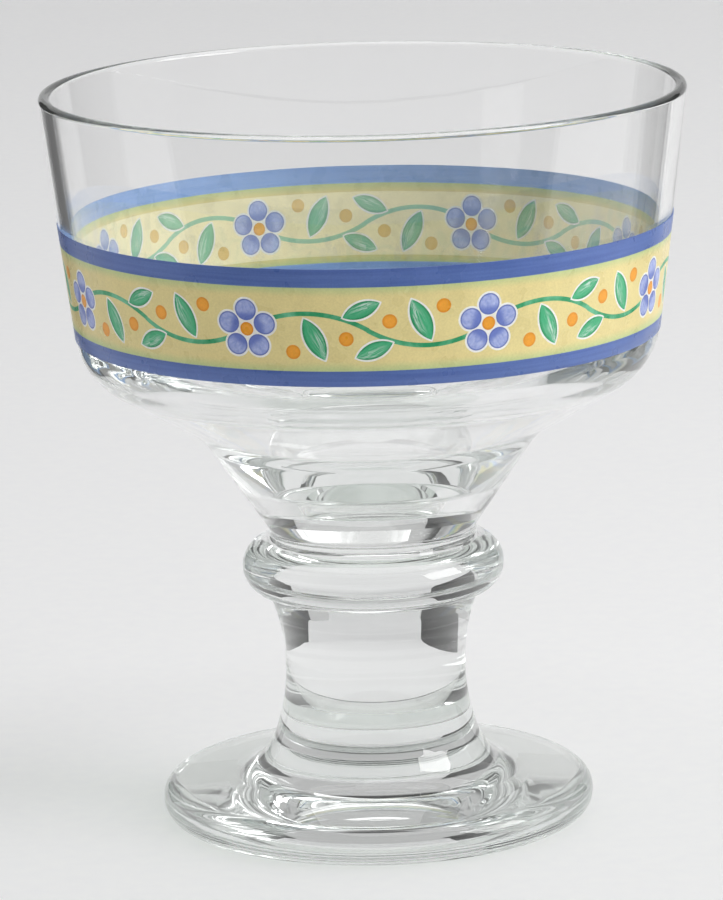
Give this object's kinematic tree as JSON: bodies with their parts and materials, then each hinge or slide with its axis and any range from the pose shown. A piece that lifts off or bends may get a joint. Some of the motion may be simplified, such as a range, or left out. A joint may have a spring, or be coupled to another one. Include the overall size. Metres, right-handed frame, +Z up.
{
  "type": "parfait glass",
  "caption": "Footed clear-glass dessert cup: flared bowl, round knop, waisted solid stem and wide foot, with an enamel band of stripes and a running vine, for serving parfait.",
  "frame": {"origin": "centre of the foot's bearing ring, on the surface that the glass stands on", "axes": "+Z up along the axis of the glass, towards the rim; -Y faces the viewer of the picture"},
  "size_m": [0.0998, 0.0998, 0.1155],
  "materials": {
    "clear_glass": "polished",
    "blue_enamel": "gloss",
    "pale_green_enamel": "gloss",
    "cream_enamel": "gloss",
    "leaf_green_enamel": "gloss",
    "petal_blue_enamel": "gloss",
    "orange_enamel": "gloss",
    "white_enamel": "gloss"
  },
  "bodies": {
    "root": {"foot": "clear_glass", "stem": "clear_glass", "knop": "clear_glass", "bowl": "clear_glass", "lower_stripe": "blue_enamel", "lower_line": "pale_green_enamel", "ground": "cream_enamel", "upper_line": "pale_green_enamel", "upper_stripe": "blue_enamel", "vine": "leaf_green_enamel", "leaves": "leaf_green_enamel", "petals": "petal_blue_enamel", "centres": "orange_enamel", "berries": "orange_enamel", "keylines": "white_enamel"}
  },
  "joints": []
}
